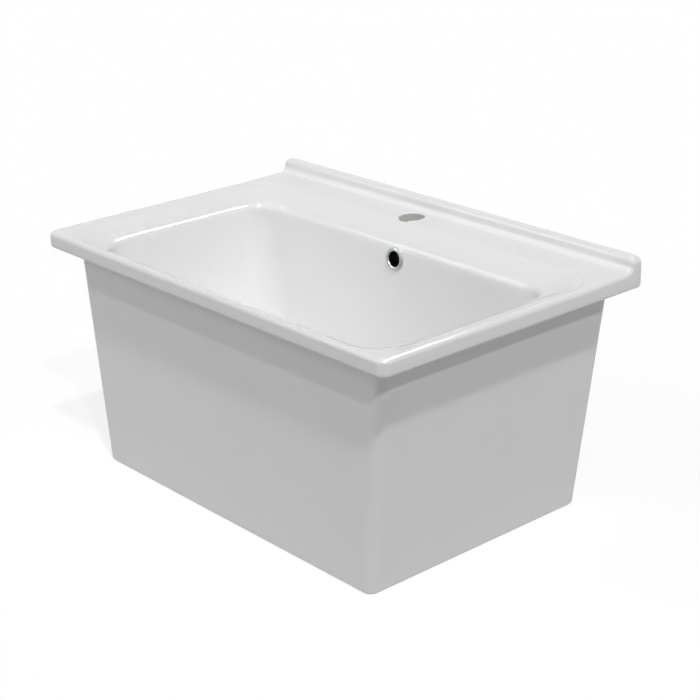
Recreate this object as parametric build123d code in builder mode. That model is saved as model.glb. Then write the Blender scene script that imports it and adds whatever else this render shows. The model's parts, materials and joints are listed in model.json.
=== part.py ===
from build123d import *
import os
from math import acos, cos, radians, sin, tan

os.makedirs("parts", exist_ok=True)

# Rim and upstand. The origin is under the centre of the rim, at the height of the foot.
rim_width = 600.0
rim_depth = 390.0
rim_thick = 20.5
rim_corner_r = 10.5
rim_lip_r = 6.0
rim_under_r = 4.5
upstand_rise = 18.0
upstand_thick = 18.5
upstand_corner_r = 6.0
upstand_end_r = 10.0
upstand_cove_r = 7.0

# Tap ledge, which drains towards the bowl
ledge_depth = 63.0
ledge_rise = 1.5
ledge_run = 95.0
ledge_plate = 20.0
tap_hole_r = 15.5
tap_hole_lip = 1.5
tap_hole_inset = 43.5
tap_hole_x = -25.0
tap_nut_r = 26.0
tap_nut_relief = 0.5

# Tub: the rim overhangs it by another amount on each side, and it tapers to its foot
tub_height = 272.5
side_overhang = 28.5
front_overhang = 24.5
back_overhang = 19.0
side_taper = 28.0
front_taper = 3.0
back_taper = 17.0
tub_corner_r = 12.0
foot_corner_r = 12.0
foot_edge_r = 5.0
rim_joint_r = 4.0

# Inside of the bowl
bead_side = 11.0
bead_front = 7.5
deck_angle = 21.3
front_deck_angle = 32.0
bowl_depth = 203.0
side_wall = 24.0
front_wall = 14.0
bowl_back_inset = 94.8
bowl_side_draft = 16.0
bowl_front_draft = 5.0
bowl_back_draft = 14.2
bowl_corner_r = 30.0
bowl_floor_corner_r = 48.0
bowl_floor_r = 38.0
crest_corner_r = 52.0
crest_r = 3.0
deck_roll_r = 11.0
wall_top_drop = 32.5
step_drop = 2.2
step_depth = 1.8
shelf_bulge = 2.0
shelf_power = 3
deck_levels = 12
deck_clear = 1.0
floor_fall = 3.0
floor_cone_r = 74.0

# Hollow underside and back, which hide the waste and the tap's tails
floor_thick = 18.0
foot_wall = 20.0
back_skin = 13.0
bowl_back_thick = 10.0
recess_corner_r = 12.0
window_width = 410.0
window_reach = 60.0
window_lintel = 6.0
window_corner_r = 20.0

# Overflow way, cast down the bowl's back and forward under its floor to the waste
overflow_drop = 35.3
overflow_hole_r = 11.0
duct_width = 26.0
duct_depth = 10.0
duct_wall = 7.0
duct_bend_r = 9.0
duct_sill = 11.0
duct_head = 12.0

# Waste hole and the hub of ceramic round it
waste_y = -30.0
waste_hole_r = 23.0
waste_seat_r = 34.0
waste_seat_depth = 3.0
hub_r = 38.0
hub_height = 39.5

# Waste fitting
fit = 0.05
running = 0.1
flange_r = 33.0
flange_thick = 2.5
flange_bevel = 0.9
seal_thick = 2.0
mouth_r = 23.5
mouth_depth = 8.0
tube_r = 20.95
tube_wall = 2.75
tube_tail = 8.0
collar_gap = 0.3
collar_depth = 3.3
tail_relief = 2.0
tail_relief_depth = 0.6
slot_width = 16.0
slot_height = 10.0
slot_count = 4
cross_drop = 42.0
cross_thick = 4.0
cross_arm = 3.0
cross_hub_r = 6.0
lower_seal_thick = 6.0
lower_seal_r = 31.0
slide_washer_thick = 2.0
back_nut_thick = 10.0
back_nut_flats = 52.0
back_nut_flange_r = 31.0
back_nut_flange = 2.5

# Push cartridge
barrel_r = 8.5
barrel_bore_r = 6.0
barrel_height = 30.0
barrel_floor = 3.0
stud_r = 3.0
stud_length = 12.0
cartridge_nut_thick = 4.0
cartridge_nut_flats = 10.0
barrel_cap_thick = 3.0
barrel_cap_plug = 2.0
stem_r = 4.0
stem_foot_thick = 3.0
stem_tip_r = 3.0
stem_tip_length = 6.0
cam_height = 4.2
cam_teeth = 8
cam_tooth_depth = 1.2
spring_r = 4.6
spring_wire_r = 0.5
spring_turns = 6.5
stop_gap = 0.2

# Plug, which rests raised by its stroke
plug_stroke = 8.5
plug_r = 31.0
plug_gap = 0.3
plug_edge = 1.6
plug_crown = 5.0
plug_hub_r = 16.0
plug_hub_depth = 4.0
plug_hub_wall = 2.5
plug_lip = 1.2
plug_boss_r = 7.0
plug_boss_drop = 5.8
plug_seat_gap = 0.35

# Overflow ring
ring_r = 14.5
ring_bore_r = 9.3
ring_face = 3.0
ring_tube_wall = 0.9
ring_depth = 12.0
ring_barb = 0.4
ring_slit = 2.5
ring_slit_depth = 7.0
ring_legs = 4
ring_seat_gap = 0.5

# Heights and faces that the pieces share
rim_top = tub_height + rim_thick
upstand_top = rim_top + upstand_rise
side = rim_width / 2
back = rim_depth / 2
front = -back
upstand_front = back - upstand_thick
ledge_top = rim_top + ledge_rise
ledge_front = back - ledge_depth
ledge_under = rim_top - ledge_plate
window_top = tub_height - window_lintel
floor_z = rim_top - bowl_depth
floor_under = floor_z - floor_thick
seat_z = floor_z - floor_fall - waste_seat_depth
hub_under = seat_z - hub_height
wall_top = rim_top - wall_top_drop

tub_half = side - side_overhang
tub_front = front + front_overhang
tub_back = back - back_overhang
bowl_half = tub_half - side_wall
bowl_front = tub_front + front_wall
bowl_back = back - bowl_back_inset
bowl_lean = bowl_back_draft / (wall_top - floor_z)


def outline(half, near, far, radius):
    """A rounded rectangle, half wide each way, from y = near to y = far."""
    with Locations((0, (near + far) / 2)):
        RectangleRounded(2 * half, far - near, radius)


def bowl_back_at(z):
    """Where the bowl's back wall stands at a height."""
    return bowl_back - bowl_lean * (wall_top - z)


def tub_outline(z, inset, back_inset, radius):
    """The tub's outline at a height, drawn in by an inset."""
    share = 1 - z / tub_height
    outline(
        tub_half - side_taper * share - inset,
        tub_front + front_taper * share + inset,
        tub_back - back_taper * share - back_inset,
        radius,
    )


# Bowl space: decks that slope in from the bead, the step and shelf below the tap ledge, and the walls
side_draft = bowl_side_draft / (wall_top - floor_z)
front_draft = bowl_front_draft / (wall_top - floor_z)


def deck_at(drop, crest, wall, slope, draft):
    """How far a deck stands out at a drop: a straight slope, a roll of one radius, then the drafted wall."""
    start = radians(slope)
    end = radians(90) - draft
    roll_in = deck_roll_r * (sin(end) - sin(start))
    roll_fall = deck_roll_r * (cos(start) - cos(end))
    lowest_roll = (crest - wall - roll_in) * tan(start) + roll_fall
    wall_there = wall + draft * (wall_top_drop - lowest_roll)
    roll_start = (crest - wall_there - roll_in) * tan(start)
    if drop <= roll_start:
        return crest - drop / tan(start)
    if drop >= roll_start + roll_fall:
        return wall + draft * (wall_top_drop - drop)
    angle = acos(cos(start) - (drop - roll_start) / deck_roll_r)
    return crest - roll_start / tan(start) - deck_roll_r * (sin(angle) - sin(start))


def shelf_at(drop):
    """Where the surface below the tap ledge stands at a drop: the steep step, the shelf, the long roll."""
    if drop <= step_drop:
        return ledge_front - step_depth * (drop + ledge_rise) / (step_drop + ledge_rise)
    share = (drop - step_drop) / (wall_top_drop - step_drop)
    reach = (ledge_front - step_depth - bowl_back) * (1 - share) ** shelf_power
    return bowl_back + reach + shelf_bulge * share * (1 - share)


above = ledge_rise + deck_clear
level_fall = (wall_top_drop - step_drop) / deck_levels
level_drops = [-above] + [step_drop + level * level_fall for level in range(deck_levels + 1)]
with BuildPart() as deck_space:
    for drop in level_drops:
        share = (drop + above) / (wall_top_drop + above)
        with BuildSketch(Plane.XY.offset(rim_top - drop)):
            outline(
                deck_at(drop, side - bead_side, bowl_half, deck_angle, side_draft),
                -deck_at(drop, back - bead_front, -bowl_front, front_deck_angle, front_draft),
                shelf_at(drop),
                crest_corner_r + (bowl_corner_r - crest_corner_r) * share,
            )
    loft()

with BuildPart() as bowl_space:
    with BuildSketch(Plane.XY.offset(floor_z)):
        outline(
            bowl_half - bowl_side_draft,
            bowl_front + bowl_front_draft,
            bowl_back - bowl_back_draft,
            bowl_floor_corner_r,
        )
    with BuildSketch(Plane.XY.offset(wall_top)):
        outline(bowl_half, bowl_front, bowl_back, bowl_corner_r)
    loft(ruled=True)
    fillet(bowl_space.faces().sort_by(Axis.Z)[0].edges(), bowl_floor_r)

# Hollow under the floor and behind the bowl, drawn in from the tub's faces
with BuildPart() as under_space:
    for height in (0, floor_under):
        with BuildSketch(Plane.XY.offset(height)):
            tub_outline(height, foot_wall, foot_wall, recess_corner_r)
    loft(ruled=True)

with BuildPart() as back_space:
    for height in (0, ledge_under):
        share = 1 - height / tub_height
        with BuildSketch(Plane.XY.offset(height)):
            outline(
                tub_half - side_taper * share - foot_wall,
                bowl_back_at(height) + bowl_back_thick,
                tub_back - (back_taper + foot_wall - back_skin) * share - back_skin,
                recess_corner_r,
            )
    loft(ruled=True)

# Overflow way, seen from the side: down behind the bowl's back wall and forward to the waste
duct_low = hub_under + duct_sill
duct_high = duct_low + duct_depth
overflow_z = rim_top - overflow_drop
duct_top = overflow_z + duct_head


def way(gap, low, high, top):
    """Corners of the overflow way's side outline, thickened all round by a gap."""
    inner = bowl_back_thick - gap / 2
    outer = bowl_back_thick + duct_depth + gap
    return [
        (waste_y, low),
        (bowl_back_at(low) + outer, low),
        (bowl_back_at(top) + outer, top),
        (bowl_back_at(top) + inner, top),
        (bowl_back_at(high) + inner, high),
        (waste_y, high),
    ]


with BuildPart() as duct_rib:
    with BuildSketch(Plane.YZ):
        with BuildLine():
            Polyline(*way(duct_wall, hub_under, floor_under + duct_wall, duct_top + duct_wall), close=True)
        make_face()
    extrude(amount=duct_width / 2 + duct_wall, both=True)
    rib_heel = duct_rib.edges().filter_by(Axis.X).group_by(Axis.Z)[0].sort_by(Axis.Y)[-1]
    fillet(rib_heel, duct_bend_r + duct_wall)

with BuildPart() as duct_space:
    with BuildSketch(Plane.YZ):
        with BuildLine():
            Polyline(*way(0, duct_low, duct_high, duct_top), close=True)
        make_face()
    extrude(amount=duct_width / 2, both=True)
    duct_heel = duct_space.edges().filter_by(Axis.X).group_by(Axis.Z)[0].sort_by(Axis.Y)[-1]
    fillet(duct_heel, duct_bend_r)

overflow_plane = Plane(
    origin=(0, bowl_back_at(overflow_z), overflow_z),
    x_dir=(1, 0, 0),
    z_dir=(0, -1, bowl_lean),
)

# The casting: rim, ledge and upstand from one side outline, then the tub, then all its hollows
with BuildPart() as basin_body:
    with BuildSketch(Plane.YZ.offset(-side)):
        with BuildLine():
            Polyline(
                (upstand_front - upstand_cove_r, ledge_top),
                (back - ledge_run, rim_top),
                (front, rim_top),
                (front, tub_height),
                (back, tub_height),
                (back, upstand_top),
                (upstand_front, upstand_top),
                (upstand_front, ledge_top + upstand_cove_r),
            )
            RadiusArc(
                (upstand_front - upstand_cove_r, ledge_top),
                (upstand_front, ledge_top + upstand_cove_r),
                -upstand_cove_r,
            )
        make_face()
    extrude(amount=rim_width)
    fillet(basin_body.edges().filter_by(Axis.Z).group_by(Axis.Y)[0], rim_corner_r)
    fillet(basin_body.edges().filter_by(Axis.Z).group_by(Axis.Y)[-1], upstand_corner_r)
    upstand_crown = basin_body.faces().sort_by(Axis.Z)[-1]
    fillet(upstand_crown.edges().filter_by(Axis.Y), upstand_end_r)
    top_edges = [edge for edge in basin_body.edges() if min(v.Z for v in edge.vertices()) > rim_top - fit]
    cove_edges = basin_body.edges().filter_by(Axis.X).filter_by_position(Axis.Y, front + fit, upstand_front - fit)
    lip = [edge for edge in top_edges if not any(edge.is_same(other) for other in cove_edges)]
    fillet(lip, rim_lip_r)
    fillet(basin_body.faces().sort_by(Axis.Z)[0].edges(), rim_under_r)

    for height, radius in ((0, foot_corner_r), (tub_height, tub_corner_r)):
        with BuildSketch(Plane.XY.offset(height)):
            tub_outline(height, 0, 0, radius)
    loft(ruled=True)
    fillet(basin_body.faces().sort_by(Axis.Z)[0].edges(), foot_edge_r)

    joint = basin_body.edges().filter_by_position(Axis.Z, tub_height - fit, tub_height + fit)
    joint = joint.filter_by_position(Axis.X, -tub_half - fit, tub_half + fit)
    fillet(joint.filter_by_position(Axis.Y, tub_front - fit, tub_back + fit), rim_joint_r)

    add(deck_space.part, mode=Mode.SUBTRACT)
    add(bowl_space.part, mode=Mode.SUBTRACT)
    decks = [face for face in basin_body.faces() if face.geom_type == GeomType.BSPLINE]
    crest = [
        edge
        for edge in basin_body.edges()
        if min(v.Z for v in edge.vertices()) > rim_top - fit
        and any(edge.is_same(other) for face in decks for other in face.edges())
    ]
    fillet(crest, crest_r)

    add(under_space.part, mode=Mode.SUBTRACT)
    add(back_space.part, mode=Mode.SUBTRACT)

    with BuildSketch(Plane.XZ.offset(-back)):
        with Locations((0, window_top)):
            RectangleRounded(window_width, 2 * window_top, window_corner_r, align=(Align.CENTER, Align.MAX))
    extrude(amount=window_reach, mode=Mode.SUBTRACT)

    with BuildSketch(Plane.XY.offset(hub_under)):
        with Locations((0, waste_y)):
            Circle(hub_r)
    extrude(amount=floor_under + fit - hub_under)
    add(duct_rib.part)
    add(duct_space.part, mode=Mode.SUBTRACT)

    # Fall of the floor, seat and hole of the waste
    with Locations((0, waste_y, floor_z)):
        Cone(
            waste_seat_r,
            floor_cone_r,
            floor_fall,
            align=(Align.CENTER, Align.CENTER, Align.MAX),
            mode=Mode.SUBTRACT,
        )
        CounterBoreHole(waste_hole_r, waste_seat_r, floor_z - seat_z)

    # Tap hole and overflow hole
    with BuildSketch(Plane.XY.offset(ledge_top)):
        with Locations((tap_hole_x, back - tap_hole_inset)):
            Circle(tap_hole_r)
    extrude(amount=-2 * ledge_plate, mode=Mode.SUBTRACT)
    with BuildSketch(Plane.XY.offset(ledge_under + tap_nut_relief)):
        with Locations((tap_hole_x, back - tap_hole_inset)):
            Circle(tap_nut_r)
    extrude(amount=-ledge_plate, mode=Mode.SUBTRACT)
    tap_rim = basin_body.edges().filter_by_position(Axis.Z, rim_top, ledge_top)
    tap_rim = tap_rim.filter_by_position(Axis.X, tap_hole_x - tap_hole_r, tap_hole_x + tap_hole_r)
    tap_rim = tap_rim.filter_by_position(Axis.Y, ledge_front, upstand_front - upstand_cove_r - fit)
    fillet(tap_rim, tap_hole_lip)
    with BuildSketch(overflow_plane):
        Circle(ring_r + ring_seat_gap)
    extrude(amount=ring_face, mode=Mode.SUBTRACT)
    with BuildSketch(overflow_plane):
        Circle(overflow_hole_r)
    extrude(amount=-bowl_back_thick - duct_depth / 2, mode=Mode.SUBTRACT)

basin_body.part.label = "basin_body"
export_step(basin_body.part, "parts/basin_body.step")

# Waste fitting, all turned about the waste's own axis
waste_axis = Axis((0, waste_y, 0), (0, 0, 1))
waste_side = Plane(origin=(0, waste_y, 0), x_dir=(1, 0, 0), z_dir=(0, -1, 0))
flange_under = seat_z + seal_thick
flange_top = flange_under + flange_thick
tube_bore_r = tube_r - tube_wall
collar_r = waste_hole_r - collar_gap
mouth_slope = (mouth_r - tube_bore_r) / mouth_depth
cross_top = flange_top - cross_drop
slot_z = (duct_low + duct_high) / 2
lower_seal_under = hub_under - lower_seal_thick
nut_top = lower_seal_under - slide_washer_thick
nut_under = nut_top - back_nut_thick

with BuildPart() as waste_body:
    with BuildSketch(waste_side):
        with BuildLine():
            Polyline(
                (flange_r, flange_under),
                (flange_r, flange_top - flange_bevel),
                (flange_r - 2 * flange_bevel, flange_top),
                (mouth_r, flange_top),
                (tube_bore_r, flange_top - mouth_depth),
                (tube_bore_r, tube_tail),
                (tube_r - flange_bevel, tube_tail),
                (tube_r, tube_tail + flange_bevel),
                (tube_r, nut_under - tail_relief),
                (tube_r - tail_relief_depth, nut_under - tail_relief),
                (tube_r - tail_relief_depth, nut_under),
                (tube_r, nut_under),
                (tube_r, flange_under - collar_depth - (collar_r - tube_r)),
                (collar_r, flange_under - collar_depth),
                (collar_r, flange_under),
                close=True,
            )
        make_face()
    revolve(axis=waste_axis)
    for step in range(slot_count // 2):
        turn = 180 / slot_count + step * 360 / slot_count
        with BuildSketch(
            Plane(
                origin=(0, waste_y, slot_z),
                x_dir=Vector(1, 0, 0).rotate(Axis.Z, turn),
                z_dir=Vector(0, -1, 0).rotate(Axis.Z, turn),
            )
        ):
            SlotOverall(slot_width, slot_height)
        extrude(amount=flange_r, both=True, mode=Mode.SUBTRACT)
    with BuildSketch(Plane.XY.offset(cross_top)):
        with Locations((0, waste_y)):
            Rectangle(2 * tube_r - tube_wall, cross_arm)
            Rectangle(cross_arm, 2 * tube_r - tube_wall)
            Circle(cross_hub_r)
            Circle(stud_r + fit, mode=Mode.SUBTRACT)
    extrude(amount=-cross_thick)

with BuildPart() as flange_seal:
    with BuildSketch(Plane.XY.offset(seat_z)):
        with Locations((0, waste_y)):
            Circle(flange_r - flange_bevel)
            Circle(waste_hole_r, mode=Mode.SUBTRACT)
    extrude(amount=seal_thick)

with BuildPart() as lower_seal:
    with BuildSketch(waste_side):
        with BuildLine():
            Polyline(
                (tube_r + fit, lower_seal_under),
                (lower_seal_r, lower_seal_under),
                (lower_seal_r - lower_seal_thick / 3, hub_under),
                (collar_r, hub_under),
                (tube_r + 2 * fit, hub_under + lower_seal_thick / 3),
                (tube_r + fit, hub_under + lower_seal_thick / 3),
                close=True,
            )
        make_face()
    revolve(axis=waste_axis)

with BuildPart() as slide_washer:
    with BuildSketch(Plane.XY.offset(lower_seal_under)):
        with Locations((0, waste_y)):
            Circle(lower_seal_r)
            Circle(tube_r + fit, mode=Mode.SUBTRACT)
    extrude(amount=-slide_washer_thick)

with BuildPart() as back_nut:
    with BuildSketch(Plane.XY.offset(nut_top)):
        with Locations((0, waste_y)):
            Circle(back_nut_flange_r)
    extrude(amount=-back_nut_flange)
    with BuildSketch(Plane.XY.offset(nut_top)):
        with Locations((0, waste_y)):
            RegularPolygon(back_nut_flats / 2, 6, major_radius=False)
    extrude(amount=-back_nut_thick)
    with BuildSketch(Plane.XY.offset(nut_top)):
        with Locations((0, waste_y)):
            Circle(tube_r + fit)
    extrude(amount=-back_nut_thick, mode=Mode.SUBTRACT)
    chamfer(back_nut.faces().sort_by(Axis.Z)[0].outer_wire().edges(), flange_bevel)

# Push cartridge, screwed down on the cross
barrel_top = cross_top + barrel_height
barrel_bottom = cross_top + barrel_floor
stop_z = barrel_top - barrel_cap_plug
with BuildPart() as cartridge_housing:
    with BuildSketch(waste_side):
        with BuildLine():
            Polyline(
                (0, cross_top - stud_length),
                (stud_r, cross_top - stud_length),
                (stud_r, cross_top),
                (barrel_r, cross_top),
                (barrel_r, barrel_top),
                (barrel_bore_r, barrel_top),
                (barrel_bore_r, barrel_bottom),
                (0, barrel_bottom),
                close=True,
            )
        make_face()
    revolve(axis=waste_axis)

with BuildPart() as cartridge_nut:
    with BuildSketch(Plane.XY.offset(cross_top - cross_thick)):
        with Locations((0, waste_y)):
            RegularPolygon(cartridge_nut_flats / 2, 6, major_radius=False)
            Circle(stud_r + fit, mode=Mode.SUBTRACT)
    extrude(amount=-cartridge_nut_thick)

with BuildPart() as cartridge_cap:
    with BuildSketch(waste_side):
        with BuildLine():
            Polyline(
                (stem_r + running, stop_z),
                (barrel_bore_r - fit, stop_z),
                (barrel_bore_r - fit, barrel_top),
                (barrel_r, barrel_top),
                (barrel_r, barrel_top + barrel_cap_thick - flange_bevel),
                (barrel_r - flange_bevel, barrel_top + barrel_cap_thick),
                (stem_r + running, barrel_top + barrel_cap_thick),
                close=True,
            )
        make_face()
    revolve(axis=waste_axis)

# Stem and plug, at rest in the raised position
plug_under = flange_top + plug_gap + plug_stroke
boss_under = plug_under - plug_boss_drop
stem_top = plug_under + plug_edge / 2
foot_top = stop_z - stop_gap
foot_under = foot_top - stem_foot_thick
with BuildPart() as plug_stem:
    with BuildSketch(waste_side):
        with BuildLine():
            Polyline(
                (0, foot_under - stem_tip_length),
                (stem_tip_r, foot_under - stem_tip_length),
                (stem_tip_r, foot_under),
                (barrel_bore_r - running, foot_under),
                (barrel_bore_r - running, foot_top),
                (stem_r, foot_top),
                (stem_r, stem_top),
                (0, stem_top),
                close=True,
            )
        make_face()
    revolve(axis=waste_axis)

cam_top = foot_under - running
with BuildPart() as cam_ring:
    with BuildSketch(Plane.XY.offset(cam_top)):
        with Locations((0, waste_y)):
            Circle(barrel_bore_r - running)
            Circle(stem_tip_r + running, mode=Mode.SUBTRACT)
    extrude(amount=-cam_height)
    with BuildSketch(Plane.XY.offset(cam_top)):
        with Locations((0, waste_y)):
            with PolarLocations((stem_tip_r + barrel_bore_r) / 2, cam_teeth):
                Rectangle(barrel_bore_r, cam_tooth_depth)
    extrude(amount=-cam_tooth_depth, mode=Mode.SUBTRACT)

spring_low = barrel_bottom + spring_wire_r
spring_high = cam_top - cam_height - running - spring_wire_r
with BuildPart() as cartridge_spring:
    with BuildLine():
        coil = Helix(
            pitch=(spring_high - spring_low) / spring_turns,
            height=spring_high - spring_low,
            radius=spring_r,
            center=(0, waste_y, spring_low),
        )
    with BuildSketch(Plane(origin=coil @ 0, z_dir=coil % 0)):
        Circle(spring_wire_r)
    sweep(is_frenet=True)

plug_hub_under = plug_under - plug_hub_depth
with BuildPart() as plug_cap:
    with BuildSketch(waste_side):
        with BuildLine():
            Polyline(
                (0, plug_under + plug_edge + plug_crown),
                (0, stem_top),
                (stem_r + fit, stem_top),
                (stem_r + fit, boss_under),
                (plug_boss_r, boss_under),
                (plug_boss_r, plug_under),
                (plug_hub_r - plug_hub_wall, plug_under),
                (plug_hub_r - plug_hub_wall, plug_hub_under - plug_lip),
                (plug_hub_r + plug_lip, plug_hub_under - plug_lip),
                (plug_hub_r + plug_lip, plug_hub_under),
                (plug_hub_r, plug_hub_under),
                (plug_hub_r, plug_under),
                (plug_r, plug_under),
                (plug_r, plug_under + plug_edge),
            )
            RadiusArc(
                (plug_r, plug_under + plug_edge),
                (0, plug_under + plug_edge + plug_crown),
                -(plug_r**2 + plug_crown**2) / (2 * plug_crown),
            )
        make_face()
    revolve(axis=waste_axis)
    cap_top = plug_under + plug_edge
    cap_edge = plug_cap.edges().filter_by_position(Axis.Z, cap_top - fit, cap_top + fit)
    fillet(cap_edge, plug_edge / 2)

with BuildPart() as plug_seal:
    with BuildSketch(waste_side):
        with BuildLine():
            Polyline(
                (plug_hub_r + fit, plug_hub_under),
                (mouth_r - plug_seat_gap - mouth_slope * (plug_hub_depth - plug_gap), plug_hub_under),
                (mouth_r - plug_seat_gap, plug_under - plug_gap),
                (mouth_r - plug_seat_gap, plug_under),
                (plug_hub_r + fit, plug_under),
                close=True,
            )
        make_face()
    revolve(axis=waste_axis)

# Overflow ring: a rounded face and a sprung tube with slits and barbs
ring_normal = overflow_plane.z_dir
ring_side = Plane(
    origin=overflow_plane.origin,
    x_dir=(1, 0, 0),
    z_dir=Vector(1, 0, 0).cross(ring_normal),
)
ring_tube_r = ring_bore_r + ring_tube_wall
with BuildPart() as overflow_ring:
    with BuildSketch(ring_side) as ring_profile:
        with BuildLine():
            Polyline(
                (ring_bore_r, ring_face),
                (ring_bore_r, -ring_depth),
                (ring_tube_r, -ring_depth),
                (ring_tube_r + ring_barb, -ring_depth + 2 * ring_barb),
                (ring_tube_r, -ring_depth + 4 * ring_barb),
                (ring_tube_r, 0),
                (ring_r, 0),
                (ring_r, ring_face),
                close=True,
            )
        make_face()
        fillet(ring_profile.vertices().group_by(Axis.Y)[-1], ring_face * 0.7)
    revolve(axis=Axis(overflow_plane.origin, ring_normal))
    with BuildSketch(overflow_plane.offset(-ring_depth)):
        for step in range(ring_legs // 2):
            Rectangle(2 * ring_r, ring_slit, rotation=step * 360 / ring_legs)
    extrude(amount=ring_slit_depth, mode=Mode.SUBTRACT)

for name, piece in (
    ("waste_body", waste_body),
    ("flange_seal", flange_seal),
    ("lower_seal", lower_seal),
    ("slide_washer", slide_washer),
    ("back_nut", back_nut),
    ("cartridge_housing", cartridge_housing),
    ("cartridge_nut", cartridge_nut),
    ("cartridge_cap", cartridge_cap),
    ("cartridge_spring", cartridge_spring),
    ("cam_ring", cam_ring),
    ("plug_stem", plug_stem),
    ("plug_cap", plug_cap),
    ("plug_seal", plug_seal),
    ("overflow_ring", overflow_ring),
):
    piece.part.label = name
    export_step(piece.part, f"parts/{name}.step")
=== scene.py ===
import json
from math import cos, hypot, radians, sin

import bmesh
import bpy
from mathutils import Matrix, Vector


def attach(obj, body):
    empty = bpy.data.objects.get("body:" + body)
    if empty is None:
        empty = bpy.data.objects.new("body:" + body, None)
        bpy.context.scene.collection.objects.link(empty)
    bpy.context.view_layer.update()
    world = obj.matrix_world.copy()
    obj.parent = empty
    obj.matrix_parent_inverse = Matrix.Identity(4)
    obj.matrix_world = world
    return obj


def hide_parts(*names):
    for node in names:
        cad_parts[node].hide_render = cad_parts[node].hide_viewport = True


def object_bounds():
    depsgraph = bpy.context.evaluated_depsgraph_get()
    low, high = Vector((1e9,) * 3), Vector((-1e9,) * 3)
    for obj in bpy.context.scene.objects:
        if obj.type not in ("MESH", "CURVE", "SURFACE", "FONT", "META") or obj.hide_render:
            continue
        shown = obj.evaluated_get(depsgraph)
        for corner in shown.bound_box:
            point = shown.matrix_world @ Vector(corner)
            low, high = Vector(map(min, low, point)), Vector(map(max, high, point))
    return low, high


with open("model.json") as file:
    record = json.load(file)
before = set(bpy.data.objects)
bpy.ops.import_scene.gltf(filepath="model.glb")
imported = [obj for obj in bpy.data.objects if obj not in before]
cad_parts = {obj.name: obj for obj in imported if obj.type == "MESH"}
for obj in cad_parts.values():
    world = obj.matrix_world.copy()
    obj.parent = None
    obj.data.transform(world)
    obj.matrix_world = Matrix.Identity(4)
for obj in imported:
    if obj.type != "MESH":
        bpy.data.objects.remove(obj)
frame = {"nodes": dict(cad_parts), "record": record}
cad_low, cad_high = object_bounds()
nodes = frame["nodes"]
mounts = {mount["name"]: mount for mount in frame["record"]["mounts"]}

# The casting: one slip-cast body of sanitary ceramic. Its white gloss glaze is a thin glassy coat
# that lies in long slight waves, with a fine orange-peel skin. The foot, the open hollow, the
# overflow way and the punched tap hole are bare clay, and the last two are darkened with painted
# shade.
merge_gap = 1e-6
casting_crease = 25
glaze_white = (0.906, 0.906, 0.905, 1)
glaze_pooled = (0.89, 0.891, 0.892, 1)
glaze_rough = 0.07
glaze_shine = 0.5
wave_length = 0.055
wave_detail = 1.0
wave_height = 0.00018
peel_length = 0.0045
peel_detail = 0.0
peel_height = 0.000006
clay_cream = (0.74, 0.735, 0.72, 1)
clay_sandy = (0.65, 0.64, 0.62, 1)
clay_rough = 0.82
grit_length = 0.0012
grit_detail = 4.0
grit_height = 0.00006
# Painted shade: a near-black mottled colour for the overflow way, and a share of it in the tap
# hole.
painted_shade_dark = (0.016, 0.015, 0.014, 1)
painted_shade_mottled = (0.03, 0.028, 0.024, 1)
tap_hole_shade = 0.14

# The tub stands under an overhanging rim, and its walls lean out from the foot to the rim.
tub_height = mounts["rim_seat"]["pos_m"][2]
side_overhang = 0.0285
front_overhang = 0.0245
back_overhang = 0.019
side_taper = 0.028
front_taper = 0.003
back_taper = 0.017
tub_half = cad_high[0] - side_overhang
tub_front = cad_low[1] + front_overhang
tub_back = cad_high[1] - back_overhang

# The bowl's back wall leans back as it rises to the roll below the ledge.
rim_thick = 0.0205
wall_top_drop = 0.0325
wall_top = tub_height + rim_thick - wall_top_drop
bowl_back_inset = 0.0948
bowl_back = cad_high[1] - bowl_back_inset
bowl_lean = 0.0833
bowl_wall = 0.01

# The tap hole was punched through the ledge while the clay was damp.
mm = 0.001
tap_x, tap_y, tap_z = mounts["tap_hole"]["pos_m"]
tap_radius = mounts["tap_hole"]["dims"]["r_mm"] * mm
tap_length = mounts["tap_hole"]["dims"]["length_mm"] * mm

# The hollow is told from the glazed outside by depths that part the two faces of each wall.
tub_wall_middle = 0.012
bowl_wall_middle = 0.007
rear_skin = 0.001
bare_foot = 0.0012
floor_under = 0.072
ledge_under = tap_z - tap_length / 2

# The overflow way falls behind the bowl's back wall, and then runs under the floor to the waste.
# Tests on it, the tap hole and the hollow reach past the faces themselves by the play.
play = 0.0002
waste_y = mounts["waste_tail"]["pos_m"][1]
waste_clear = 0.018
way_width = 0.026
way_depth = 0.01
way_low = 0.0555
way_top = 0.2697
way_lip = 0.0015
way_end = waste_y + waste_clear


def fresh_copy(node_name, copy_name):
    """A merged copy of a CAD node as a new object, with its shading normals left to Blender."""
    shape = bmesh.new()
    shape.from_mesh(nodes[node_name].data)
    bmesh.ops.remove_doubles(shape, verts=shape.verts, dist=merge_gap)
    shape.verts.index_update()
    mesh = bpy.data.meshes.new(copy_name)
    mesh.from_pydata(
        [vert.co[:] for vert in shape.verts],
        [],
        [[vert.index for vert in face.verts] for face in shape.faces],
    )
    shape.free()
    piece = bpy.data.objects.new(copy_name, mesh)
    bpy.context.scene.collection.objects.link(piece)
    return piece


def smooth(piece, angle):
    """Smooth shading, broken at edges sharper than an angle and weighted by the faces' size."""
    piece.data.polygons.foreach_set("use_smooth", [True] * len(piece.data.polygons))
    piece.data.set_sharp_from_angle(angle=radians(angle))
    weighted = piece.modifiers.new("even_shading", "WEIGHTED_NORMAL")
    weighted.keep_sharp = True


def new_finish(name):
    """A new material, its tree and its Principled shader."""
    finish = bpy.data.materials.new(name)
    finish.use_nodes = True
    tree = finish.node_tree
    return finish, tree, tree.nodes["Principled BSDF"]


def pattern(tree, length, detail=2.0):
    """Cloudy noise of a feature length on Object coordinates. Returns its 0 to 1 output."""
    place = tree.nodes.new("ShaderNodeTexCoord")
    noise = tree.nodes.new("ShaderNodeTexNoise")
    noise.inputs["Scale"].default_value = 1 / length
    noise.inputs["Detail"].default_value = detail
    tree.links.new(place.outputs["Object"], noise.inputs["Vector"])
    return noise.outputs["Fac"]


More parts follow.
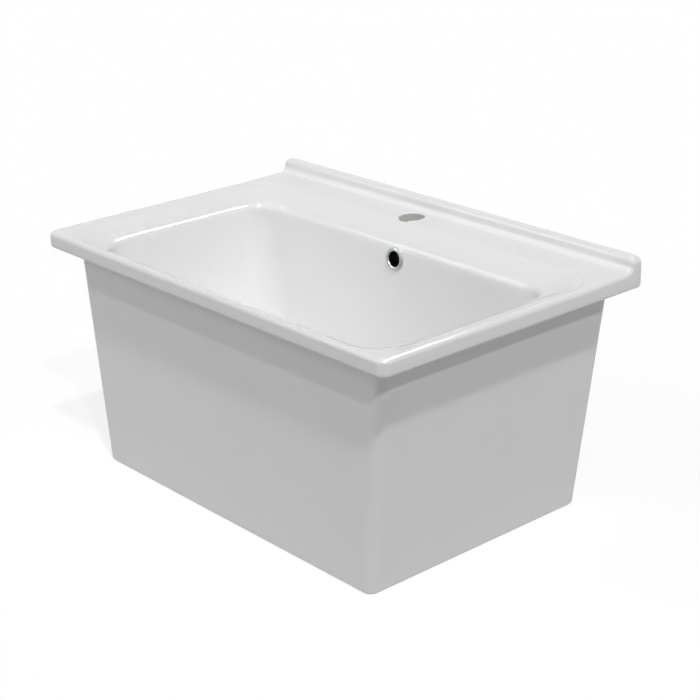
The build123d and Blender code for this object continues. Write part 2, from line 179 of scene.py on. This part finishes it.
def mixed_colour(tree, share, first, second):
    """A colour between two by a share. Each of the two is a plain colour or a node's output."""
    mix = tree.nodes.new("ShaderNodeMix")
    mix.data_type = "RGBA"
    for socket, colour in ((mix.inputs["A"], first), (mix.inputs["B"], second)):
        if isinstance(colour, tuple):
            socket.default_value = colour
        else:
            tree.links.new(colour, socket)
    tree.links.new(share, mix.inputs["Factor"])
    return mix.outputs["Result"]


def ranged(tree, share, low=0.0, high=1.0):
    """A share from 0 to 1 laid over another range."""
    spread = tree.nodes.new("ShaderNodeMapRange")
    spread.inputs["To Min"].default_value = low
    spread.inputs["To Max"].default_value = high
    tree.links.new(share, spread.inputs["Value"])
    return spread.outputs["Result"]


def relief(tree, share, height, under=None):
    """Bump of a height in metres, laid over an earlier bump."""
    bump = tree.nodes.new("ShaderNodeBump")
    bump.inputs["Distance"].default_value = height
    tree.links.new(share, bump.inputs["Height"])
    if under is not None:
        tree.links.new(under, bump.inputs["Normal"])
    return bump.outputs["Normal"]


def bowl_back_at(z):
    """Where the bowl's back wall stands at a height."""
    return bowl_back - bowl_lean * (wall_top - z)


def in_overflow_way(point):
    """Whether a point lies on the cast-in way from the overflow hole down to the waste."""
    x, y, z = point
    back = bowl_back_at(z)
    outer = back + bowl_wall + way_depth + play
    falls = way_low - play < z < way_top + play and back + way_lip < y < outer
    runs = way_low - play < z < way_low + way_depth + play and way_end < y < outer
    return abs(x) < way_width / 2 + play and (falls or runs)


def in_tap_hole(point):
    """Whether a point lies on the punched wall of the tap hole, below its glazed lip."""
    x, y, z = point
    reach = hypot(x - tap_x, y - tap_y)
    return reach < tap_radius + play and abs(z - tap_z) < tap_length / 2


def in_hollow(point):
    """Whether a point lies in the open hollow under the bowl's floor or behind its back wall."""
    x, y, z = point
    fall = 1 - z / tub_height
    side = tub_half - side_taper * fall - tub_wall_middle
    front = tub_front + front_taper * fall + tub_wall_middle
    rear = tub_back - back_taper * fall - rear_skin
    deep = z < floor_under + play or y > bowl_back_at(z) + bowl_wall_middle
    return z < ledge_under + play and abs(x) < side and front < y < rear and deep


casting = fresh_copy("basin_body", "casting")
bare = casting.data.attributes.new("bare_clay", "FLOAT", "FACE")
# Each face's share of painted shade: all of it in the overflow way, part of it in the tap hole.
shade_layer = casting.data.attributes.new("stained_way", "FLOAT", "FACE")
for face, clay_value, shade_value in zip(casting.data.polygons, bare.data, shade_layer.data):
    middle = face.center
    in_way = in_overflow_way(middle)
    punched = in_tap_hole(middle)
    clay_value.value = float(in_way or punched or middle.z < bare_foot or in_hollow(middle))
    shade_value.value = float(in_way) + tap_hole_shade * float(punched)
smooth(casting, casting_crease)

white_glaze, tree, shader = new_finish("white_glaze")
shader.inputs["Specular IOR Level"].default_value = glaze_shine
clay_share = tree.nodes.new("ShaderNodeAttribute")
clay_share.attribute_name = "bare_clay"
shade_share = tree.nodes.new("ShaderNodeAttribute")
shade_share.attribute_name = "stained_way"
waves = pattern(tree, wave_length, wave_detail)
peel = pattern(tree, peel_length, peel_detail)
grit = pattern(tree, grit_length, grit_detail)
glazed = mixed_colour(tree, waves, glaze_white, glaze_pooled)
clay = mixed_colour(tree, grit, clay_cream, clay_sandy)
ceramic = mixed_colour(tree, clay_share.outputs["Fac"], glazed, clay)
# Painted shade darkens the overflow way, and the tap hole more faintly.
dark_paint = mixed_colour(tree, grit, painted_shade_dark, painted_shade_mottled)
ceramic = mixed_colour(tree, shade_share.outputs["Fac"], ceramic, dark_paint)
tree.links.new(ceramic, shader.inputs["Base Color"])
rough = ranged(tree, clay_share.outputs["Fac"], glaze_rough, clay_rough)
tree.links.new(rough, shader.inputs["Roughness"])
grains = tree.nodes.new("ShaderNodeMath")
grains.operation = "MULTIPLY"
tree.links.new(grit, grains.inputs[0])
tree.links.new(clay_share.outputs["Fac"], grains.inputs[1])
skin = relief(tree, waves, wave_height)
skin = relief(tree, peel, peel_height, skin)
skin = relief(tree, grains.outputs[0], grit_height, skin)
tree.links.new(skin, shader.inputs["Normal"])
casting.data.materials.append(white_glaze)
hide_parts("basin_body")
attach(casting, "basin")

# The overflow ring: turned brass, polished and chromium plated. A rounded face closes the
# hole's edge, and four sprung legs behind it, with small barbs, grip the cast hole.
plate_bright = (0.62, 0.63, 0.64, 1)
plate_hazy = (0.52, 0.53, 0.54, 1)
plate_rough = (0.035, 0.09)
haze_length = 0.012
haze_detail = 4.0


def clouded(name, length, detail, colours, roughness, metallic=0.0):
    """A finish whose colour and roughness both follow one cloudy pattern."""
    finish, tree, shader = new_finish(name)
    shader.inputs["Metallic"].default_value = metallic
    cloud = pattern(tree, length, detail)
    tree.links.new(mixed_colour(tree, cloud, *colours), shader.inputs["Base Color"])
    tree.links.new(ranged(tree, cloud, *roughness), shader.inputs["Roughness"])
    return finish


def cover(piece, finish):
    """Puts one material on a piece."""
    piece.data.materials.clear()
    piece.data.materials.append(finish)


chrome = clouded(
    "polished_chrome",
    haze_length,
    haze_detail,
    (plate_bright, plate_hazy),
    plate_rough,
    metallic=1.0,
)
cover(nodes["overflow_ring"], chrome)

# The waste: a chromed brass tube with a broad flange that beds on a rubber washer in the bowl's
# seat. Four slots in it let in the overflow, and below the casting its outside is cut with a pipe
# thread, eleven turns to the inch.
waste_crease = 30
tail_radius = mounts["waste_tail"]["dims"]["r_mm"] * mm
tail_end = mounts["waste_tail"]["pos_m"][2] - mounts["waste_tail"]["dims"]["length_mm"] * mm / 2
thread_depth = 0.00105
thread_skin = 0.00055
thread_lead = 0.0005
thread_root = tail_radius - thread_depth
thread_low = tail_end + thread_lead
thread_top = 0.0442
thread_turns = 14.5
thread_pitch = 0.002309
thread_ridge = 0.00095
thread_sides = 6
turn_steps = 72

waste = fresh_copy("waste_body", "waste_fitting")
for vert in waste.data.vertices:
    reach = Vector((vert.co.x, vert.co.y - waste_y))
    if vert.co.z < thread_top and reach.length > tail_radius - thread_skin:
        reach *= thread_root / reach.length
        vert.co.x, vert.co.y = reach.x, reach.y + waste_y
smooth(waste, waste_crease)
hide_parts("waste_body")
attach(waste, "basin")
cover(waste, chrome)


def thread_tree():
    """A helical ridge: radius, low end, number of turns, pitch and half the ridge's width."""
    tree = bpy.data.node_groups.new("screw_thread", "GeometryNodeTree")
    tree.is_modifier = True
    tree.interface.new_socket("Geometry", in_out="INPUT", socket_type="NodeSocketGeometry")
    for name in ("Radius", "Low", "Turns", "Pitch", "Ridge", "Middle Y"):
        tree.interface.new_socket(name, in_out="INPUT", socket_type="NodeSocketFloat")
    tree.interface.new_socket("Material", in_out="INPUT", socket_type="NodeSocketMaterial")
    tree.interface.new_socket("Geometry", in_out="OUTPUT", socket_type="NodeSocketGeometry")
    given = tree.nodes.new("NodeGroupInput")
    result = tree.nodes.new("NodeGroupOutput")
    rise = tree.nodes.new("ShaderNodeMath")
    rise.operation = "MULTIPLY"
    tree.links.new(given.outputs["Turns"], rise.inputs[0])
    tree.links.new(given.outputs["Pitch"], rise.inputs[1])
    spiral = tree.nodes.new("GeometryNodeCurveSpiral")
    spiral.inputs["Resolution"].default_value = turn_steps
    for radius in ("Start Radius", "End Radius"):
        tree.links.new(given.outputs["Radius"], spiral.inputs[radius])
    tree.links.new(given.outputs["Turns"], spiral.inputs["Rotations"])
    tree.links.new(rise.outputs[0], spiral.inputs["Height"])
    section = tree.nodes.new("GeometryNodeCurvePrimitiveCircle")
    section.inputs["Resolution"].default_value = thread_sides
    tree.links.new(given.outputs["Ridge"], section.inputs["Radius"])
    swept = tree.nodes.new("GeometryNodeCurveToMesh")
    swept.inputs["Fill Caps"].default_value = True
    tree.links.new(spiral.outputs["Curve"], swept.inputs["Curve"])
    tree.links.new(section.outputs["Curve"], swept.inputs["Profile Curve"])
    place = tree.nodes.new("ShaderNodeCombineXYZ")
    tree.links.new(given.outputs["Middle Y"], place.inputs["Y"])
    tree.links.new(given.outputs["Low"], place.inputs["Z"])
    moved = tree.nodes.new("GeometryNodeTransform")
    tree.links.new(swept.outputs["Mesh"], moved.inputs["Geometry"])
    tree.links.new(place.outputs["Vector"], moved.inputs["Translation"])
    real = tree.nodes.new("GeometryNodeRealizeInstances")
    tree.links.new(moved.outputs["Geometry"], real.inputs["Geometry"])
    coated = tree.nodes.new("GeometryNodeSetMaterial")
    tree.links.new(real.outputs["Geometry"], coated.inputs["Geometry"])
    tree.links.new(given.outputs["Material"], coated.inputs["Material"])
    tree.links.new(coated.outputs["Geometry"], result.inputs["Geometry"])
    return tree


screw_thread = thread_tree()


def cut_thread(name, finish, sizes):
    """A thread of the sizes given, as a plain mesh that rides on the basin."""
    piece = bpy.data.objects.new(name, bpy.data.meshes.new(name))
    bpy.context.scene.collection.objects.link(piece)
    maker = piece.modifiers.new("thread", "NODES")
    maker.node_group = screw_thread
    values = {**sizes, "Material": finish}
    for socket in screw_thread.interface.items_tree:
        if socket.in_out == "INPUT" and socket.name in values:
            maker[socket.identifier] = values[socket.name]
    worked = piece.evaluated_get(bpy.context.evaluated_depsgraph_get())
    made = bpy.data.meshes.new_from_object(worked)
    piece.modifiers.clear()
    piece.data = made
    made.name = name
    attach(piece, "basin")


cut_thread(
    "tail_thread",
    chrome,
    {
        "Radius": thread_root,
        "Low": thread_low,
        "Turns": thread_turns,
        "Pitch": thread_pitch,
        "Ridge": thread_ridge,
        "Middle Y": waste_y,
    },
)

# The seals: black rubber. A flat washer lies under the flange, a tapered one is squeezed up into
# the hub by the back nut, and a lipped ring on the plug's hub closes the waste when it is down.
rubber_black = (0.022, 0.022, 0.023, 1)
rubber_bloom = (0.045, 0.044, 0.042, 1)
rubber_rough = 0.55
bloom_length = 0.006
bloom_detail = 3.0
grain_length = 0.0006
grain_height = 0.00004
rubber, tree, shader = new_finish("black_rubber")
shader.inputs["Roughness"].default_value = rubber_rough
bloom = pattern(tree, bloom_length, bloom_detail)
bloomed = mixed_colour(tree, bloom, rubber_black, rubber_bloom)
tree.links.new(bloomed, shader.inputs["Base Color"])
grain = pattern(tree, grain_length)
tree.links.new(relief(tree, grain, grain_height), shader.inputs["Normal"])
for name in ("flange_seal", "lower_seal", "plug_seal"):
    cover(nodes[name], rubber)

# The slide washer, the push cartridge's barrel and its cam: moulded in natural nylon, which is
# creamy and faintly mottled, with a skin that has a soft shine.
nylon_pale = (0.80, 0.78, 0.71, 1)
nylon_deep = (0.74, 0.71, 0.62, 1)
nylon_rough = (0.38, 0.5)
mottle_length = 0.004
mottle_detail = 3.0
nylon = clouded(
    "natural_nylon",
    mottle_length,
    mottle_detail,
    (nylon_pale, nylon_deep),
    nylon_rough,
)
for name in ("slide_washer", "cartridge_housing", "cam_ring"):
    cover(nodes[name], nylon)

# The nuts, the cartridge's cap and the plug's stem: turned from brass bar and left unplated, so
# fine rings from the lathe run round the waste's axis.
brass_fresh = (0.74, 0.58, 0.31, 1)
brass_dull = (0.56, 0.42, 0.22, 1)
brass_rough = (0.2, 0.38)
tarnish_length = 0.008
tarnish_detail = 4.0
lathe_lines = 900.0
lathe_height = 0.00001
brass = clouded(
    "turned_brass",
    tarnish_length,
    tarnish_detail,
    (brass_fresh, brass_dull),
    brass_rough,
    metallic=1.0,
)
tree = brass.node_tree
shader = tree.nodes["Principled BSDF"]
place = tree.nodes.new("ShaderNodeTexCoord")
centred = tree.nodes.new("ShaderNodeMapping")
centred.inputs["Location"].default_value = (0, -waste_y, 0)
tree.links.new(place.outputs["Object"], centred.inputs["Vector"])
lathe = tree.nodes.new("ShaderNodeTexWave")
lathe.wave_type = "RINGS"
lathe.rings_direction = "Z"
lathe.inputs["Scale"].default_value = lathe_lines
tree.links.new(centred.outputs["Vector"], lathe.inputs["Vector"])
tree.links.new(relief(tree, lathe.outputs["Fac"], lathe_height), shader.inputs["Normal"])
for name in ("back_nut", "cartridge_nut", "cartridge_cap", "plug_stem"):
    cover(nodes[name], brass)

# The cartridge's spring: hard drawn stainless wire with streaks along the draw. It stands on the
# barrel's floor and pushes up the cam, and the stem with it.
wire_light = (0.66, 0.67, 0.68, 1)
wire_dark = (0.50, 0.51, 0.52, 1)
wire_rough = (0.22, 0.36)
streak_length = 0.0015
streak_detail = 2.0
spring_steel = clouded(
    "spring_wire",
    streak_length,
    streak_detail,
    (wire_light, wire_dark),
    wire_rough,
    metallic=1.0,
)
cover(nodes["cartridge_spring"], spring_steel)

# The plug: a domed brass cap, chromium plated, that stands a little way above the flange until it
# is pressed.
cover(nodes["plug_cap"], chrome)

# The studio floor: white paper. To the camera and to bright metal it glows almost white and keeps
# the casting's faint shadow, and to every other ray it only gives back a little light.
paper_rough = 1.0
paper_shine = 0.0
paper_bounce = 0.32
paper_shade = 0.25
paper_glow = 0.80
plain_white = (1, 1, 1, 1)
floor_half = 30.0
paper = bpy.data.meshes.new("studio_floor")
paper.from_pydata(
    [
        (-floor_half, -floor_half, 0),
        (floor_half, -floor_half, 0),
        (floor_half, floor_half, 0),
        (-floor_half, floor_half, 0),
    ],
    [],
    [(0, 1, 2, 3)],
)
floor = bpy.data.objects.new("studio_floor", paper)
bpy.context.scene.collection.objects.link(floor)
floor_finish, tree, shader = new_finish("studio_paper")
shader.inputs["Roughness"].default_value = paper_rough
shader.inputs["Specular IOR Level"].default_value = paper_shine
shader.inputs["Emission Color"].default_value = plain_white
paper.materials.append(floor_finish)


def seen_ways(tree):
    """1 where a ray comes from the camera, or from it by way of metal or glass, and 0 elsewhere."""
    rays = tree.nodes.new("ShaderNodeLightPath")
    first = tree.nodes.new("ShaderNodeMath")
    first.operation = "MAXIMUM"
    tree.links.new(rays.outputs["Is Camera Ray"], first.inputs[0])
    tree.links.new(rays.outputs["Is Glossy Ray"], first.inputs[1])
    both = tree.nodes.new("ShaderNodeMath")
    both.operation = "MAXIMUM"
    tree.links.new(first.outputs[0], both.inputs[0])
    tree.links.new(rays.outputs["Is Transmission Ray"], both.inputs[1])
    return both.outputs[0]


seen = seen_ways(tree)
tree.links.new(ranged(tree, seen, paper_bounce, paper_shade), shader.inputs["Base Color"])
tree.links.new(ranged(tree, seen, high=paper_glow), shader.inputs["Emission Strength"])

# The studio air: a pale even light from all round, which the camera and bright metal see as a
# white backdrop.
air_light = 0.265
world = bpy.data.worlds.new("studio_air")
bpy.context.scene.world = world
world.use_nodes = True
air = world.node_tree
backdrop = air.nodes["Background"]
backdrop.inputs["Color"].default_value = plain_white
air.links.new(ranged(air, seen_ways(air), low=air_light), backdrop.inputs["Strength"])

# The lamps: two small ones high on the right throw the rim's shadows, a broad one on the left and
# a weak one on the right soften them, and two sparks in the small ones' places only add shine.
lamp_reach = 3.0


def direction(azimuth, elevation):
    """The way out at an azimuth, 0 in front and 90 to the right, and an elevation."""
    turn = radians(azimuth)
    tilt = radians(elevation)
    return Vector((sin(turn) * cos(tilt), -cos(turn) * cos(tilt), sin(tilt)))


def far_lamp(name, azimuth, elevation, spread, strength, only_shine=False):
    """A lamp far off, its spread its width in degrees. One of only shine lights no matt surface."""
    lamp = bpy.data.lights.new(name, "SUN")
    lamp.angle = radians(spread)
    lamp.energy = strength
    way = direction(azimuth, elevation)
    stand = bpy.data.objects.new(name, lamp)
    stand.rotation_euler = way.to_track_quat("Z", "Y").to_euler()
    stand.location = way * lamp_reach
    stand.visible_diffuse = not only_shine
    bpy.context.scene.collection.objects.link(stand)


far_lamp("key_low", azimuth=64, elevation=42, spread=2, strength=0.64)
far_lamp("key_high", azimuth=64.3, elevation=62, spread=3.5, strength=1.04)
far_lamp("fill", azimuth=-38, elevation=30, spread=30, strength=0.51)
far_lamp("side_fill", azimuth=105, elevation=18, spread=30, strength=0.08)
far_lamp("low_spark", azimuth=64, elevation=42, spread=1.4, strength=3.6, only_shine=True)
far_lamp("high_spark", azimuth=64.3, elevation=62, spread=1.4, strength=2.4, only_shine=True)

# The strip lamp: narrow, and high behind the basin. It lights no matt surface, and shows only as
# a thin line of shine along the bowl's left lip.
strip_size = (0.02, 0.48)
strip_middle = Vector((0.576, 1.63, 2.64))
strip_aim = Vector((-0.27, -0.03, 0.29))
strip_watts = 60
strip = bpy.data.lights.new("strip_spark", "AREA")
strip.shape = "RECTANGLE"
strip.size, strip.size_y = strip_size
strip.energy = strip_watts
facing = (strip_middle - strip_aim).normalized()
across = Vector((0, 1, 0)).cross(facing).normalized()
along = facing.cross(across)
strip_axes = Matrix((across, along, facing)).transposed()
strip_stand = bpy.data.objects.new("strip_spark", strip)
strip_stand.matrix_world = Matrix.Translation(strip_middle) @ strip_axes.to_4x4()
strip_stand.visible_diffuse = False
strip_stand.visible_camera = False
bpy.context.scene.collection.objects.link(strip_stand)

# The camera: to the user's front right and well above the rim, with a long lens. It is turned by
# an azimuth and an elevation, as the lamps are, and then by a slight roll.
lens_length = 88.98
sensor_width = 36
eye = Vector((1.44594, -1.23780, 0.91118))
camera_azimuth = 48.8661
camera_elevation = 21.3406
camera_roll = -1.2818
camera = bpy.data.cameras.new("camera")
camera.lens = lens_length
camera.sensor_width = sensor_width
level = direction(camera_azimuth, camera_elevation).to_track_quat("Z", "Y").to_matrix()
rolled = level @ Matrix.Rotation(radians(camera_roll), 3, "Z")
camera_stand = bpy.data.objects.new("camera", camera)
camera_stand.matrix_world = Matrix.Translation(eye) @ rolled.to_4x4()
bpy.context.scene.collection.objects.link(camera_stand)
bpy.context.scene.camera = camera_stand
bpy.context.scene.view_settings.view_transform = "Standard"
